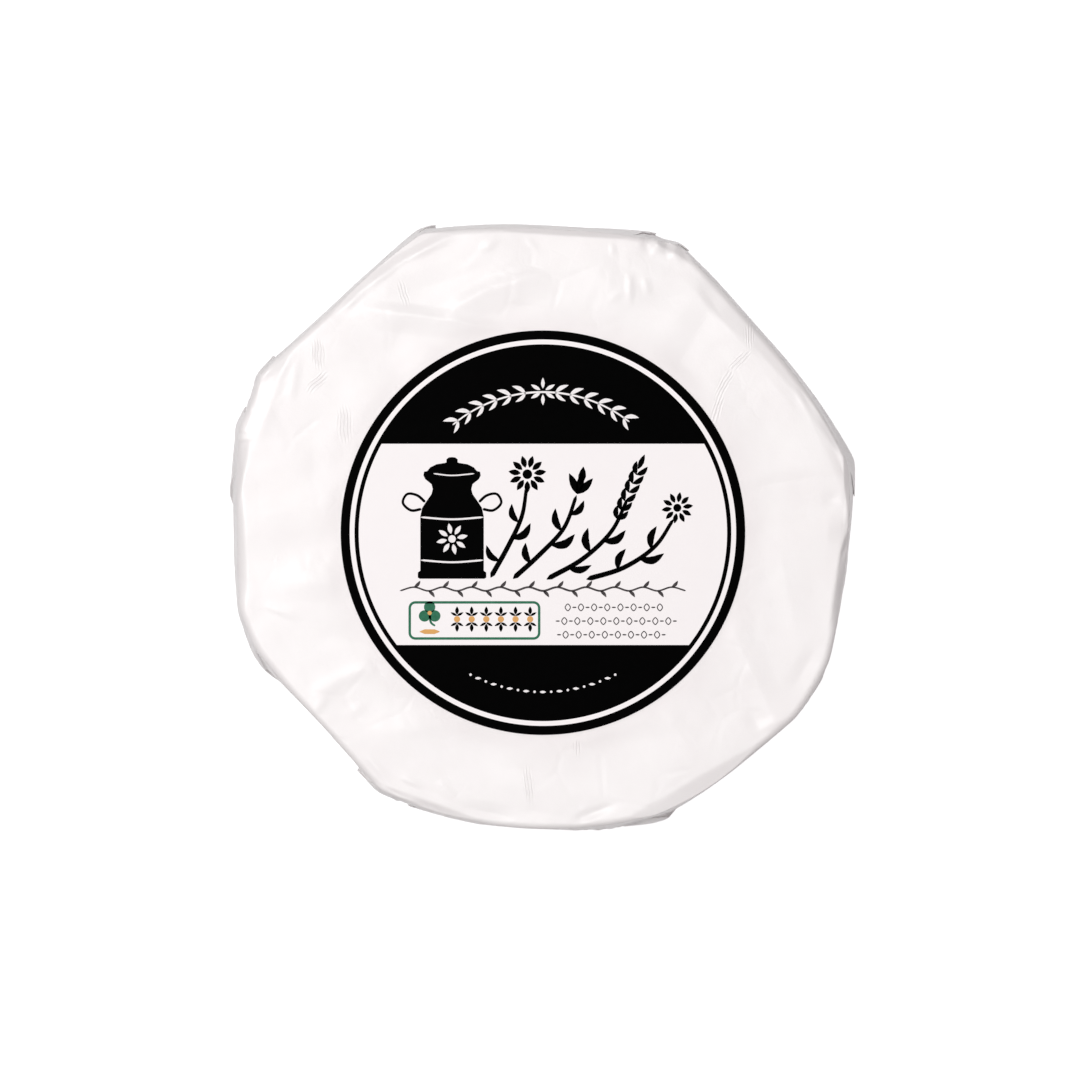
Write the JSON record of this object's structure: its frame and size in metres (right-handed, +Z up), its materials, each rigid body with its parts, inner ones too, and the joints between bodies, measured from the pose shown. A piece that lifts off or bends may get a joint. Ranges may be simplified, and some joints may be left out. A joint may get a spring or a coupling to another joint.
{
  "type": "wrapped brie wheel",
  "caption": "Small round soft white cheese, shut in pleated white paper with eight soft corners and a round printed label on top.",
  "frame": {"origin": "middle of the base of the wrapped wheel, on the surface that it rests on", "axes": "+Z up out of the labelled top, +X to the right and +Y away from a reader of the label"},
  "size_m": [0.1028, 0.0996, 0.0286],
  "materials": {
    "white_paper": "smooth greaseproof white paper with a soft sheen",
    "label_paper": "smooth printed label, black and white, faint gloss"
  },
  "bodies": {
    "root": {"wrapped_wheel": "white_paper", "round_label": "label_paper"}
  },
  "joints": []
}
